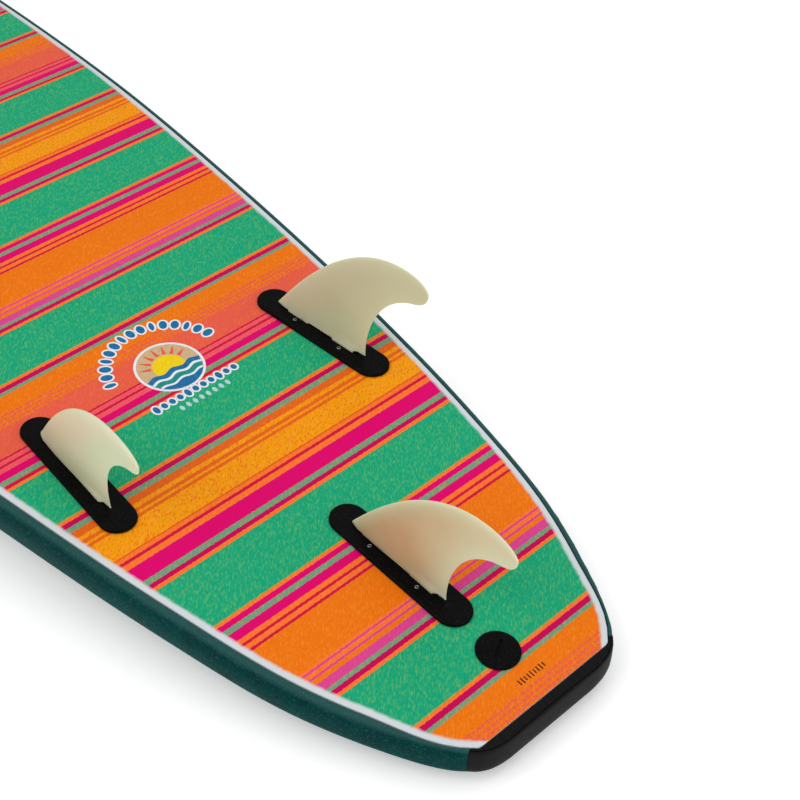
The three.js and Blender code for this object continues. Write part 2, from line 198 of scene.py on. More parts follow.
def bezier(controls, steps):
    """Points of a Bezier curve of any degree, both ends included."""
    points = []
    for step in range(steps + 1):
        level = [Vector(c) for c in controls]
        while len(level) > 1:
            level = [a.lerp(b, step / steps) for a, b in zip(level, level[1:])]
        points.append(level[0])
    return points


def spaced(points, pitch):
    """The same line, with points at an even pitch."""
    marks = [0]
    for a, b in zip(points, points[1:]):
        marks.append(marks[-1] + (b - a).length)
    count = max(2, round(marks[-1] / pitch))
    result, k = [], 0
    for i in range(count + 1):
        want = marks[-1] * i / count
        while k < len(points) - 2 and marks[k + 1] < want:
            k += 1
        result.append(points[k].lerp(points[k + 1], (want - marks[k]) / (marks[k + 1] - marks[k])))
    return result


class Line:
    """A line in the plan, from a point of the widest outline in to the board's spine."""

    def __init__(self, start, side=1):
        self.start = Vector((start.x, start.y * side))
        spine = Vector((min(max(start.x, SPINE_TAIL), SPINE_NOSE), 0))
        self.run = (spine - self.start).length
        self.inwards = (spine - self.start).normalized()

    def point(self, inset, depth_at):
        plan = self.start + self.inwards * inset
        depth = depth_at(plan.x) if callable(depth_at) else depth_at
        return place(plan.x, plan.y, depth)

    def reach(self, station):
        """How far in the line meets a station, or 0 where it starts beyond it."""
        if self.start.x >= station:
            return 0
        return (station - self.start.x) / self.inwards.x

    def inside(self, inset):
        """The point under the deck side's skin, at an inset no less than its thickness."""
        deep = SKIN - GAP
        return self.point(inset, deck_depth((inset - deep) / (self.run - deep), deep))

    @property
    def slick_edge(self):
        return max(slick_inset(self.start.x), self.reach(FLANGE))

    @property
    def deck_seam(self):
        return max(self.reach(BUMPER), DECK_SEAM * smooth_step(self.start.x, 3, 12))


def plan_outline():
    """The tail end and the left rail of the widest outline: the straight end, then the rest."""
    tail = [Vector((0, 0)), Vector((0, TAIL_FLAT))]
    corner = bezier([(0, TAIL_FLAT), TAIL_CORNER, RAIL_LINE[0]], 12)
    half = [Vector(p) for p in RAIL_LINE]
    mirrored = [Vector((p.x, -p.y)) for p in reversed(half)]
    rail = catmull_rom([*half, Vector((LENGTH, 0)), *mirrored], 16)
    rail = rail[: 16 * len(RAIL_LINE) + 1]
    outline = spaced(tail, 4)[:-1] + spaced(corner, 1.5)[:-1] + spaced(rail, 5)
    for station in (BUMPER, BUMPER + GAP, DECK_JOIN, DECK_JOIN + GAP):
        i = next(i for i, p in enumerate(outline) if p.x > station)
        a, b = outline[i - 1], outline[i]
        outline.insert(i, a.lerp(b, (station - a.x) / (b.x - a.x)))
    return [Vector((p.x, min(p.y, HALF_WIDTH))) for p in outline]


OUTLINE = plan_outline()
JOINT = next(i for i, p in enumerate(OUTLINE) if p.x > BUMPER + GAP / 2)

# the rail's shoulder as shares of its run in and its depth: a groove, then a quarter round
SHOULDER = [(1, 0.1), (0.95, 0.035), (0.9, 0.012)]
for degrees in range(10, 91, 10):
    angle = math.radians(degrees)
    SHOULDER.append((1 - math.sin(angle), 1 - math.cos(angle)))
UNDERSIDE = [0.006, 0.02, 0.045, 0.08, 0.13, 0.19, 0.27, 0.37, 0.5, 0.64, 0.8, 1]


def deck_depth(share, deck=0):
    """Depth of the deck side at a share of the way from the rail to the spine."""
    crown = (1 - (1 - share) ** DECK_POWER) ** (1 / DECK_POWER)
    return lambda station: lerp(widest_depth(station), thickness(station) - deck, crown)


def under_shares(line, rail, first, last):
    """Shares of the line's run for the deck side, between two insets."""
    run = line.run - rail
    low, high = (first - rail) / run, (last - rail) / run
    inner = [s for s in UNDERSIDE if low + 0.004 < s < high - 0.004]
    return low, inner, high


# ------------------------------------------------------------------ meshes


def new_object(name, vertices, faces, material):
    mesh = bpy.data.meshes.new(name)
    mesh.from_pydata([tuple(v) for v in vertices], [], faces)
    piece = bpy.data.objects.new(name, mesh)
    bpy.context.scene.collection.objects.link(piece)
    if material:
        mesh.materials.append(material)
    work = bmesh.new()
    work.from_mesh(mesh)
    bmesh.ops.remove_doubles(work, verts=work.verts, dist=MERGE)
    bmesh.ops.dissolve_degenerate(work, edges=work.edges, dist=MERGE)
    bmesh.ops.recalc_face_normals(work, faces=work.faces)
    work.to_mesh(mesh)
    work.free()
    return piece


def loft(name, sections, material, closed=False):
    """A closed skin over sections with equal counts of points, each a closed ring."""
    count = len(sections[0])
    vertices = [p for section in sections for p in section]
    faces = []
    rows = len(sections) if closed else len(sections) - 1
    for r in range(rows):
        here, there = r * count, (r + 1) % len(sections) * count
        for i in range(count):
            j = (i + 1) % count
            faces.append((here + i, here + j, there + j, there + i))
    if not closed:
        faces.append(tuple(reversed(range(count))))
        faces.append(tuple(range(len(vertices) - count, len(vertices))))
    return new_object(name, vertices, faces, material)


def cutter(rings):
    """A closed shape for boolean() to cut with."""
    return loft("cutter", rings, None)


def shade(piece, angle):
    """Smooth shading that keeps edges sharper than the angle, in degrees."""
    mesh = piece.data
    for face in mesh.polygons:
        face.use_smooth = True
    work = bmesh.new()
    work.from_mesh(mesh)
    limit = math.radians(angle)
    for edge in work.edges:
        edge.smooth = len(edge.link_faces) == 2 and edge.calc_face_angle(0) < limit
    work.to_mesh(mesh)
    work.free()


def finish_piece(piece, body, nodes=(), angle=38):
    """Shades the piece, parents it to the empty of the body it rides on, and hides the nodes it
    stands for.
    """
    shade(piece, angle)
    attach(piece, body)
    if nodes:
        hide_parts(*nodes)


def boolean(piece, cutters, operation="DIFFERENCE"):
    """Cuts or joins closed meshes, and removes the cutters."""
    bpy.context.view_layer.update()
    for tool in cutters:
        modifier = piece.modifiers.new("cut", "BOOLEAN")
        modifier.operation = operation
        modifier.solver = "EXACT"
        modifier.object = tool
    graph = bpy.context.evaluated_depsgraph_get()
    mesh = bpy.data.meshes.new_from_object(piece.evaluated_get(graph))
    piece.modifiers.clear()
    piece.data = mesh
    for tool in cutters:
        bpy.data.objects.remove(tool)


def at(matrix, points):
    """Points in mm, moved by a fitting's matrix, in metres."""
    return [matrix @ (Vector(p) * MM) for p in points]


def pill(length, width, height, arc=14):
    """Ring with straight sides along X and round ends."""
    radius = width / 2
    reach = length / 2 - radius
    points = []
    for end in (1, -1):
        for i in range(arc + 1):
            angle = math.pi * (i / arc - 0.5) + (math.pi if end < 0 else 0)
            x = end * reach + radius * math.cos(angle)
            points.append((x, radius * math.sin(angle), height))
    return points


def rounded_box(length, width, height, radius):
    """Ring with sides along X and Y and quarter rounds at its corners."""
    points = []
    for sx, sy, turn in ((1, 1, 0), (-1, 1, 90), (-1, -1, 180), (1, -1, 270)):
        for i in range(CORNER_STEPS + 1):
            angle = math.radians(turn + 90 * i / CORNER_STEPS)
            x = sx * (length / 2 - radius) + radius * math.cos(angle)
            y = sy * (width / 2 - radius) + radius * math.sin(angle)
            points.append((x, y, height))
    return points


def circle(radius, height, count=64):
    turns = [2 * math.pi * i / count for i in range(count)]
    return [(radius * math.cos(a), radius * math.sin(a), height) for a in turns]


def turned(name, profile, matrix, material, count=64):
    """Solid of revolution from (radius, height) pairs that start and end on the axis."""
    sections = [at(matrix, circle(max(r, 1e-4), h, count)) for r, h in profile]
    return loft(name, sections, material)


# ------------------------------------------------------------------ node helpers


def linear(colour):
    """A colour written as red, green and blue from 0 to 255 on a screen, as linear light."""
    def channel(value):
        value /= 255
        return value / 12.92 if value <= 0.04045 else ((value + 0.055) / 1.055) ** 2.4
    return (*map(channel, colour), 1)


class Material:
    """A node-based material around one Principled shader."""

    def __init__(self, name, roughness=0.5, metallic=0.0, specular=0.5):
        self.data = bpy.data.materials.new(name)
        self.data.use_nodes = True
        self.tree = self.data.node_tree
        self.tree.nodes.clear()
        self.shader = self.tree.nodes.new("ShaderNodeBsdfPrincipled")
        output = self.tree.nodes.new("ShaderNodeOutputMaterial")
        self.link(self.shader.outputs["BSDF"], output.inputs["Surface"])
        self.set(self.shader, "Roughness", roughness)
        self.set(self.shader, "Metallic", metallic)
        self.set(self.shader, "Specular IOR Level", specular)

    def link(self, source, target):
        self.tree.links.new(source, target)

    def set(self, node, name, value):
        """Sets an input of a node, by its name or number, to a value or another node's output."""
        socket = node.inputs[name]
        if isinstance(value, bpy.types.NodeSocket):
            self.link(value, socket)
        else:
            socket.default_value = value

    def node(self, kind, inputs=None, **settings):
        made = self.tree.nodes.new(kind)
        for key, value in settings.items():
            setattr(made, key, value)
        for key, value in (inputs or {}).items():
            self.set(made, key, value)
        return made

    def math(self, operation, a, b=0.0, c=0.0, clamp=False):
        made = self.node("ShaderNodeMath", {0: a, 1: b, 2: c}, operation=operation)
        made.use_clamp = clamp
        return made.outputs[0]

    def place(self, scale=(1, 1, 1), turn=0.0):
        """The object's own coordinates in mm, turned about Z and stretched."""
        scale = scale if isinstance(scale, tuple) else (scale,) * 3
        where = self.node("ShaderNodeTexCoord").outputs["Object"]
        inputs = {"Vector": where, "Rotation": (0, 0, math.radians(turn)), "Scale": (1000,) * 3}
        turned_place = self.node("ShaderNodeMapping", inputs).outputs[0]
        inputs = {"Vector": turned_place, "Scale": scale}
        return self.node("ShaderNodeMapping", inputs).outputs[0]

    def noise(self, scale, detail=2.0, roughness=0.5, distortion=0.0, turn=0.0):
        """Noise with so many features to a mm, the same along each axis or one number for each."""
        inputs = {"Vector": self.place(scale, turn), "Scale": 1, "Detail": detail,
                  "Roughness": roughness, "Distortion": distortion}
        return self.node("ShaderNodeTexNoise", inputs).outputs["Fac"]

    def cells(self, scale, feature="F1"):
        inputs = {"Vector": self.place(scale), "Scale": 1, "Randomness": 1}
        return self.node("ShaderNodeTexVoronoi", inputs, feature=feature).outputs["Distance"]

    def attribute(self, name):
        return self.node("ShaderNodeAttribute", attribute_name=name).outputs["Fac"]

    def upward(self):
        """How much the surface faces up, from -1 to 1."""
        normal = self.node("ShaderNodeNewGeometry").outputs["Normal"]
        return self.node("ShaderNodeSeparateXYZ", {0: normal}).outputs[2]

    def remap(self, value, low, high, new_low=0.0, new_high=1.0):
        inputs = {0: value, 1: low, 2: high, 3: new_low, 4: new_high}
        return self.node("ShaderNodeMapRange", inputs).outputs[0]

    def ramp(self, value, stops, interpolation="LINEAR"):
        made = self.node("ShaderNodeValToRGB", {"Fac": value})
        ramp = made.color_ramp
        ramp.interpolation = interpolation
        while len(ramp.elements) < len(stops):
            ramp.elements.new(0)
        for element, (position, colour) in zip(ramp.elements, stops):
            element.position = position
            element.color = linear(colour)
        return made.outputs["Color"]

    def mix(self, factor, a, b):
        made = self.node("ShaderNodeMix", data_type="RGBA")
        for key, value in (("Factor", factor), (6, a), (7, b)):
            if isinstance(value, tuple):
                value = linear(value)
            self.set(made, key, value)
        return made.outputs[2]

    def colour(self, value):
        self.set(self.shader, "Base Color", linear(value) if isinstance(value, tuple) else value)

    def bump(self, height, distance, strength):
        inputs = {"Height": height, "Distance": distance, "Strength": strength}
        self.set(self.shader, "Normal", self.node("ShaderNodeBump", inputs).outputs[0])

    def rough(self, value, low, high, smooth, dull):
        """Roughness from smooth to dull as a value goes from low to high."""
        self.set(self.shader, "Roughness", self.remap(value, low, high, smooth, dull))


# ------------------------------------------------------------------ the printed stripes

GREEN = (22, 167, 121)
TEAL_GREY = (100, 160, 128)
OLIVE = (198, 146, 62)
ORANGE = (240, 118, 10)
WARM_ORANGE = (252, 118, 44)
AMBER = (246, 158, 0)
BURNT = (230, 98, 28)
CORAL = (234, 92, 72)
ROSE = (240, 84, 100)
CRIMSON = (208, 18, 66)
PURPLE = (198, 4, 88)
MAGENTA = (224, 0, 108)
PINK = (220, 66, 146)

# bands from the tail towards the nose, as colour and width in mm, in three stretches that
# together repeat every 515 mm
STRIPES = [
    [
        (GREEN, 56.5), (WARM_ORANGE, 3.5), (PURPLE, 5), (TEAL_GREY, 4), (PINK, 8),
        (ORANGE, 5), (PINK, 2), (WARM_ORANGE, 4), (PINK, 2), (WARM_ORANGE, 2.5),
        (ORANGE, 42), (CRIMSON, 3), (WARM_ORANGE, 4.5), (CRIMSON, 2.5), (WARM_ORANGE, 5),
        (MAGENTA, 8.5), (TEAL_GREY, 6), (MAGENTA, 5), (WARM_ORANGE, 2.5), (OLIVE, 2),
    ],
    [
        (GREEN, 57.5), (WARM_ORANGE, 4), (PURPLE, 5), (TEAL_GREY, 5.5), (MAGENTA, 17.5),
        (WARM_ORANGE, 6), (CRIMSON, 3), (WARM_ORANGE, 4), (BURNT, 2), (AMBER, 26),
        (BURNT, 3), (AMBER, 3), (BURNT, 4), (AMBER, 4.5), (BURNT, 7.5),
        (TEAL_GREY, 6.5), (PURPLE, 5), (WARM_ORANGE, 3), (OLIVE, 2),
    ],
    [
        (GREEN, 56), (WARM_ORANGE, 3.5), (CRIMSON, 4.5), (TEAL_GREY, 6), (MAGENTA, 8),
        (ROSE, 5), (CRIMSON, 3), (ROSE, 4.5), (CRIMSON, 2), (CORAL, 31.5), (ORANGE, 2.5),
        (CORAL, 2), (ORANGE, 2.5), (CORAL, 2), (ORANGE, 3), (CORAL, 2), (ORANGE, 21),
        (TEAL_GREY, 4), (PURPLE, 5), (WARM_ORANGE, 2.5), (OLIVE, 2),
    ],
]
FIRST_GREEN = 59  # station where the first green band starts
FINE_LINES = (464, 483)  # where the fine coral lines lie in the repeat


def print_material():
    """Striped blanket print on a glossy plastic film, with a white margin at its edge."""
    made = Material("printed_film", roughness=0.42, specular=0.05)
    where = made.place()
    x, y, _ = made.node("ShaderNodeSeparateXYZ", {0: where}).outputs
    station = made.math("SUBTRACT", TAIL_X / MM, x)

    # the bands' edges step along with the weave
    step = made.math("PINGPONG", made.math("MULTIPLY_ADD", station, 0.45, y), 3.1)
    grain = made.noise((0.25, 0.42, 1), 3, 0.7)
    shift = made.math("MULTIPLY_ADD", step, 0.1, -0.15)
    shift = made.math("MULTIPLY_ADD", made.math("SUBTRACT", grain, 0.5), 1.7, shift)

    lengths = [sum(width for _, width in stretch) for stretch in STRIPES]
    period = sum(lengths)

    # the fine coral lines are broken into short slanting dashes
    plain = made.math("SUBTRACT", station, FIRST_GREEN)
    beyond = made.math("WRAP", made.math("SUBTRACT", plain, FINE_LINES[0]), period, 0)
    fine_lines = made.math("LESS_THAN", beyond, FINE_LINES[1] - FINE_LINES[0])
    slant = made.math("PINGPONG", made.math("MULTIPLY_ADD", station, 1.2, y), 2.6)
    dashes = made.math("SUBTRACT", slant, 1.3)
    ragged = made.math("MULTIPLY_ADD", made.math("SUBTRACT", grain, 0.5), 7.0, dashes)
    shift = made.math("MULTIPLY_ADD", made.math("MULTIPLY", ragged, fine_lines), 0.8, shift)
    along = made.math("WRAP", made.math("ADD", plain, shift), period, 0)
    colour, start = None, 0
    for stretch, length in zip(STRIPES, lengths):
        stops, done = [], 0
        for band, width in stretch:
            stops.append((done / length, band))
            done += width
        part = made.ramp(made.remap(along, start, start + length), stops, "CONSTANT")
        beyond = made.math("GREATER_THAN", along, start)
        colour = part if colour is None else made.mix(beyond, colour, part)
        start += length

    # short slanting flecks of thread: lime and teal on the greens, burnt orange on the oranges
    red, green, _ = made.node("ShaderNodeSeparateColor", {0: colour}).outputs[:3]
    cool = made.math("MULTIPLY", made.math("SUBTRACT", green, red), 3.0, clamp=True)
    warm = made.math("MULTIPLY", made.math("SUBTRACT", 1.0, cool), green)
    flecks = made.noise((0.2, 0.62, 1), 1, 0.5, turn=45)
    threads = made.noise((0.3, 0.8, 1), 1, 0.5, turn=45)
    lime = made.math("MULTIPLY", made.remap(flecks, 0.48, 0.72, 0, 0.42), cool)
    teal = made.math("MULTIPLY", made.remap(threads, 0.5, 0.3, 0, 0.4), cool)
    burnt = made.math("MULTIPLY", made.remap(threads, 0.5, 0.32, 0, 2.4), warm, clamp=True)
    woven = made.mix(lime, colour, (128, 196, 84))
    woven = made.mix(teal, woven, (0, 134, 106))
    gold = made.math("MULTIPLY", made.remap(flecks, 0.5, 0.72, 0, 1.5), warm, clamp=True)
    woven = made.mix(burnt, woven, BURNT)
    woven = made.mix(gold, woven, (255, 170, 60))

    # the white margin has a soft, slightly uneven edge
    margin = made.attribute("margin")
    wander = made.noise((0.05, 0.05, 1), 3, 0.6)
    uneven = made.math("MULTIPLY_ADD", made.math("SUBTRACT", wander, 0.5), 3.0, margin)
    printed = made.remap(uneven, 4.4, 7.4)
    made.colour(made.mix(printed, (212, 218, 222), woven))

    fine = made.noise((0.5, 2.2, 1), 2, 0.5, turn=45)
    broad = made.noise((0.012, 0.012, 1), 2, 0.5)
    height = made.math("MULTIPLY_ADD", broad, 6.0, fine)
    made.bump(height, 0.00008, 0.5)
    made.rough(fine, 0.2, 0.8, 0.36, 0.5)
    return made.data


def slick_material():
    made = Material("white_slick", specular=0.12)
    smudge = made.noise((0.02, 0.05, 0.05), 4, 0.6)
    made.colour(made.ramp(smudge, [(0.3, (206, 212, 217)), (0.7, (218, 223, 226))]))
    made.rough(smudge, 0.3, 0.7, 0.35, 0.48)
    made.bump(made.noise(0.3, 3), 0.0002, 0.3)
    return made.data


def foam_skin_material():
    """Closed-cell foam with a pebbled skin, painted paler where it faces up, as painted light from
    above.
    """
    made = Material("foam_skin", specular=0.03)
    made.set(made.shader, "Sheen Weight", 0.16)
    made.set(made.shader, "Sheen Roughness", 0.35)
    made.set(made.shader, "Sheen Tint", linear((150, 214, 208)))
    pebbles = made.cells(0.42, "SMOOTH_F1")
    blotches = made.noise(0.035, 4, 0.65)
    base = made.ramp(blotches, [(0.32, (0, 46, 46)), (0.68, (0, 60, 58))])
    specks = made.remap(made.noise(0.5, 2, 0.7), 0.55, 0.75, 0, 0.3)
    # painted light: where the skin faces up it is painted paler, as if lit from above
    upper = made.remap(made.upward(), 0.4, 0.7, 0, 0.5)
    painted_top_light = made.mix(upper, base, (58, 100, 98))
    made.colour(made.mix(specks, painted_top_light, (84, 124, 120)))
    made.rough(blotches, 0.3, 0.7, 0.62, 0.78)
    grain = made.noise(1.1, 2)
    height = made.math("MULTIPLY_ADD", pebbles, 1.6, grain)
    made.bump(height, 0.0005, 0.55)
    return made.data


def bumper_material():
    made = Material("bumper_foam", specular=0.04)
    scuffs = made.noise((0.06, 0.2, 0.2), 5, 0.65)
    wall = made.ramp(scuffs, [(0.3, (20, 20, 21)), (0.7, (30, 29, 29))])
    flange = made.ramp(scuffs, [(0.3, (18, 18, 19)), (0.7, (28, 27, 27))])
    # painted shade: where the surface faces up (the flange) it is painted a little darker than the
    # wall
    made.colour(made.mix(made.remap(made.upward(), 0.6, 0.95), wall, flange))
    made.rough(scuffs, 0.3, 0.7, 0.42, 0.58)
    made.bump(made.noise(0.8, 3), 0.0003, 0.35)
    return made.data


def plastic_material(name, grain, roughness):
    """Moulded black plastic with a fine spark-eroded grain."""
    made = Material(name, specular=0.04)
    tone = made.noise(0.08, 4, 0.6)
    base = made.ramp(tone, [(0.3, (5, 5, 5)), (0.7, (10, 10, 10))])
    specks = made.remap(made.noise(0.7, 2, 0.7), 0.54, 0.7, 0, 0.5)
    made.colour(made.mix(specks, base, (40, 40, 42)))
    made.rough(tone, 0.3, 0.7, roughness, roughness + 0.1)
    pits = made.cells(grain)
    made.bump(pits, 0.0002, 0.35)
    return made.data


def fin_material(name, warmth):
    """Cream nylon that light passes into: warm where it is thick, pale green where it is thin."""
    made = Material(name, roughness=0.33, specular=0.3)
    thick = made.attribute("thick")
    cloud = made.noise(0.018, 3, 0.55)
    core = made.ramp(cloud, [(0.3, (196, 168, 124)), (0.7, (208, 184, 142))])
    plain = made.ramp(cloud, [(0.3, (210, 208, 174)), (0.7, (216, 215, 184))])
    body = made.mix(warmth, plain, core)
    edge = made.remap(thick, 0.15, 0.8)
    made.colour(made.mix(edge, (216, 218, 184), body))
    made.set(made.shader, "Subsurface Weight", 0.25)
    made.set(made.shader, "Subsurface Radius", (1.0, 0.85, 0.55))
    made.set(made.shader, "Subsurface Scale", 0.006)
    flow = made.noise((0.05, 0.05, 0.12), 4, 0.6, 0.6)
    made.bump(flow, 0.0006, 0.25)
    return made.data


def even_material(made, texture, tones, smooth, dull, grain, strength):
    """Tones, roughness and grain that all follow one texture."""
    made.colour(made.ramp(texture, tones))
    made.rough(texture, 0.3, 0.7, smooth, dull)
    made.bump(texture, grain, strength)
    return made.data


def steel_material():
    made = Material("screw_steel", metallic=1.0)
    tones = [(0.3, (128, 130, 132)), (0.7, (170, 172, 174))]
    return even_material(made, made.noise((1.5, 1.5, 0.2), 3, 0.6), tones, 0.2, 0.36, 0.00005, 0.3)


def core_material():
    """White foam beads pressed together."""
    made = Material("foam_core", specular=0.2)
    beads = made.cells(0.28)
    seams = made.cells(0.28, "DISTANCE_TO_EDGE")
    made.colour(made.ramp(beads, [(0.2, (246, 246, 242)), (0.8, (228, 229, 225))]))
    made.rough(beads, 0.2, 0.8, 0.75, 0.9)
    made.bump(made.remap(seams, 0, 0.12), 0.0004, 0.5)
    return made.data


def sheet_material():
    made = Material("foam_sheet", specular=0.2)
    tones = [(0.3, (208, 213, 212)), (0.7, (228, 232, 231))]
    return even_material(made, made.noise(0.9, 3, 0.7), tones, 0.8, 0.92, 0.0003, 0.4)


def wood_material():
    """Thin ply with its grain along the board."""
    made = Material("stringer_wood", specular=0.3)
    grain = made.noise((0.012, 0.6, 0.6), 5, 0.6, 0.4)
    tones = [(0.32, (164, 118, 68)), (0.5, (196, 152, 98)), (0.7, (214, 174, 120))]
    return even_material(made, grain, tones, 0.55, 0.75, 0.0002, 0.4)


def ink_material(name, low, high):
    made = Material(name, specular=0.12, roughness=0.45)
    tone = made.noise((0.2, 0.5, 1), 3, 0.6, turn=45)
    made.colour(made.ramp(tone, [(0.35, low), (0.65, high)]))
    made.bump(tone, 0.00005, 0.3)
    return made.data


def floor_material():
    made = Material("floor", roughness=0.9, specular=0.1)
    tone = made.noise(0.002, 2)
    made.colour(made.ramp(tone, [(0.3, (247, 247, 247)), (0.7, (250, 250, 250))]))
    made.set(made.shader, "Emission Color", (1, 1, 1, 1))
    made.set(made.shader, "Emission Strength", 0.3)
    return made.data


# ------------------------------------------------------------------ layers of the board


def rail_section(line, first, last, jitter=0.0):
    """Closed section of the foam skin, from the slick's edge round the rail to the deck seam."""
    outer, inner = [], []
    run = edge_run(line.start.x)
    for out, down in SHOULDER:
        depth = lambda s, down=down: edge_depth(s) * down
        wobble = jitter * (1 - abs(2 * down - 1.3)) if 0.3 < down < 0.99 else 0
        outer.append(line.point(max(0, out * min(run, first) + wobble), depth))
    outer[0] = line.point(first, 1.9)
    low, shares, high = under_shares(line, 0, 0, last)
    for share in [0, *fixed([*shares[:6], high], 7)]:
        outer.append(line.point(share * line.run, deck_depth(share)))
    deep = SKIN - GAP
    for share in reversed([0, 0.35, 0.7, 1]):
        inner.append(line.inside(lerp(deep, last, share)))
    top = CORE_TOP - GAP
    inner.append(line.point(deep + 1.2, top + 1.4))
    inner.append(line.point(max(first, deep + 3), top))
    return outer + inner


def fixed(values, count):
    """The same list, with its last value repeated up to a count."""
    return [*values, *[values[-1]] * (count - len(values))]


def shrink(section, amount):
    """The section drawn in towards its middle by an amount in mm."""
    middle = sum(section, Vector()) / len(section)
    result = []
    for p in section:
        offset = p - middle
        result.append(middle + offset * max(0, 1 - amount * MM / max(offset.length, 1e-6)))
    return result


def rounded_ends(sections, depth=0.5):
    """Sections with a small round at the first and the last of them."""
    first = shrink(sections[0], depth)
    last = shrink(sections[-1], depth)
    second = [a.lerp(b, 0.12) for a, b in zip(sections[0], sections[1])]
    before = [a.lerp(b, 0.12) for a, b in zip(sections[-1], sections[-2])]
    return [first, second, *sections[1:-1], before, last]


def make_rail(name, side, material):
    sections = []
    for p in OUTLINE[JOINT:]:
        line = Line(p, side)
        if side * line.start.y < GAP / 2:
            line.start.y = side * GAP / 2
        where = Vector((p.x * WOBBLE_SCALE, p.y * WOBBLE_SCALE, side * 7))
        jitter = RAIL_WOBBLE * noise.noise(where)
        sections.append(rail_section(line, line.slick_edge - GAP, DECK_SEAM, jitter))
    piece = loft(name, rounded_ends(sections), material)
    finish_piece(piece, "board", [name], 50)


def deck_row(p, low_inset):
    """Closed section of the deck skin from one rail to the other through the spine."""
    left, right = Line(p, 1), Line(p, -1)
    shares = [lerp(low_inset / left.run, 1, t) for t in (0, 0.04, 0.1, 0.18, 0.28, 0.4, 0.55, 0.75)]
    outer = [left.point(s * left.run, deck_depth(s)) for s in [*shares, 1]]
    outer += [right.point(s * right.run, deck_depth(s)) for s in reversed(shares)]
    inner = [right.inside(max(s * right.run, SKIN - GAP)) for s in shares]
    inner += [left.inside(max(s * left.run, SKIN - GAP)) for s in [1, *reversed(shares)]]
    return outer + inner


DECK_THINNING = 4  # away from the ends, one line in this many is used
DECK_FINE_END = 200


def make_deck(material):
    rows = {"deck_skin_tail": [], "deck_skin": []}
    for i, p in enumerate(OUTLINE):
        line = Line(p)
        if i % DECK_THINNING and DECK_FINE_END < p.x < SPINE_NOSE:
            continue
        inset = line.deck_seam + GAP
        if i >= JOINT:
            inset = max(DECK_SEAM + GAP, line.reach(BUMPER + GAP))
        name = "deck_skin_tail" if p.x < DECK_JOIN + GAP / 2 else "deck_skin"
        rows[name].append(deck_row(p, inset))
    plug = fitting(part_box("leash_plug"), slope=deck_slope)
    hole = loft("hole", [at(plug, circle(PLUG["flange"] + GAP, h, 48)) for h in (-60, -38)], None)
    for name, sections in rows.items():
        piece = loft(name, sections, material)
        if name == "deck_skin_tail":
            boolean(piece, [hole])
        finish_piece(piece, "board", [name], 50)


def bumper_section(line):
    """Closed section of the bumper: flange, groove, rolled edge and wall, down to the deck."""
    first, last = line.slick_edge - GAP, line.deck_seam
    top = [
        (first, 0.5), (first - 0.25, 0.12), (lerp(3.4, first, 0.75), 0),
        (lerp(3.4, first, 0.5), -0.05), (lerp(3.4, first, 0.2), 0), (3.3, 0.02), (3.0, 0.16),
        (2.85, 0.7), (2.7, 1.35), (2.1, 1.5), (1.75, 1.2), (1.65, 0.7), (1.5, 0.5), (1.2, 0.62),
        (0.8, 1.1), (0.45, 1.8), (0.2, 2.6),
    ]
    outer = [line.point(inset, depth) for inset, depth in top]
    outer.append(line.point(0.05, lambda s: lerp(3.2, widest_depth(s), 0.3)))
    outer.append(line.point(0, lambda s: lerp(3.2, widest_depth(s), 0.65)))
    for t in (0, 0.02, 0.06, 0.14, 0.27, 0.45, 0.7, 1):
        share = lerp(0, last / line.run, t)
        outer.append(line.point(share * line.run, deck_depth(share)))
    deep = SKIN - GAP
    under = max(last, deep + 1)
    inner = [line.inside(lerp(deep, under, t)) for t in (1, 0.6, 0.25, 0)]
    inner.append(line.point(deep, CORE_TOP + 2))
    inner.append(line.point(max(first - 1, deep + 1), CORE_TOP - GAP))
    inner.append(line.point(first, CORE_TOP - GAP - 0.5))
    return outer + inner


def make_bumper(material):
    left = [bumper_section(Line(p)) for p in OUTLINE[:JOINT]]
    right = [bumper_section(Line(p, -1)) for p in OUTLINE[1:JOINT]]
    piece = loft("tail_bumper", rounded_ends([*reversed(right), *left], 0.6), material)
    finish_piece(piece, "board", ["tail_bumper"], 50)


def slick_outline(extra=0.0):
    """Left half of the slick's edge in the plan, from the tail end's middle to the nose tip."""
    lines = [Line(p) for p in OUTLINE]
    points = [line.start + line.inwards * (line.slick_edge + extra) for line in lines]
    cut = [i for i, line in enumerate(lines) if line.reach(FLANGE) > slick_inset(line.start.x)]
    corner = max(cut)
    rail = [p for p in points[corner + 1 :] if p.x > FLANGE + GAP + 0.01]
    return [Vector((FLANGE + GAP, points[corner].y)), *rail]


def half_width(edge, station):
    for a, b in zip(edge, edge[1:]):
        if a.x <= station <= b.x:
            return lerp(a.y, b.y, (station - a.x) / max(b.x - a.x, 1e-9))
    return edge[-1].y if station > edge[-1].x else edge[0].y


def row_stations(low, high, pitch, round_low, round_high):
    """Stations from low to high, closer together towards an end that is round."""
    count = round((high - low) / pitch)
    stations = [lerp(low, high, i / count) for i in range(count + 1)]
    if round_low:
        stations[:1] = [low + step for step in (0, 0.25, 1.1, 2.5, 4.5)]
    if round_high:
        tail = [high - 2 * pitch * (1 - math.sin(math.pi / 2 * i / 9)) for i in range(10)]
        stations = [s for s in stations if s < high - 2 * pitch - 1] + tail
    return stations


def sheet_rows(edge, stations, top, bottom, columns, ends):
    """Closed sections across a sheet that follows the bottom face between two depths."""
    sections = []
    for station in stations:
        width = max(half_width(edge, station), 0.05)
        rim = min(0.9, width / 2)
        sides = [width, width - rim * 0.3, width - rim]
        falls = [(bottom - top) * 0.4, (bottom - top) * 0.1, 0]
        across = [lerp(-(width - rim), width - rim, i / columns) for i in range(1, columns)]
        upper = [(-w, top + f) for w, f in zip(sides, falls)]
        upper += [(w, top) for w in across]
        upper += [(w, top + f) for w, f in zip(reversed(sides), reversed(falls))]
        if station in ends:
            upper = [(w, max(d, top + (bottom - top) * 0.4)) for w, d in upper]
        lower = [(w, bottom) for w, _ in reversed(upper)]
        sections.append([place(station, w, d) for w, d in upper + lower])
    return sections


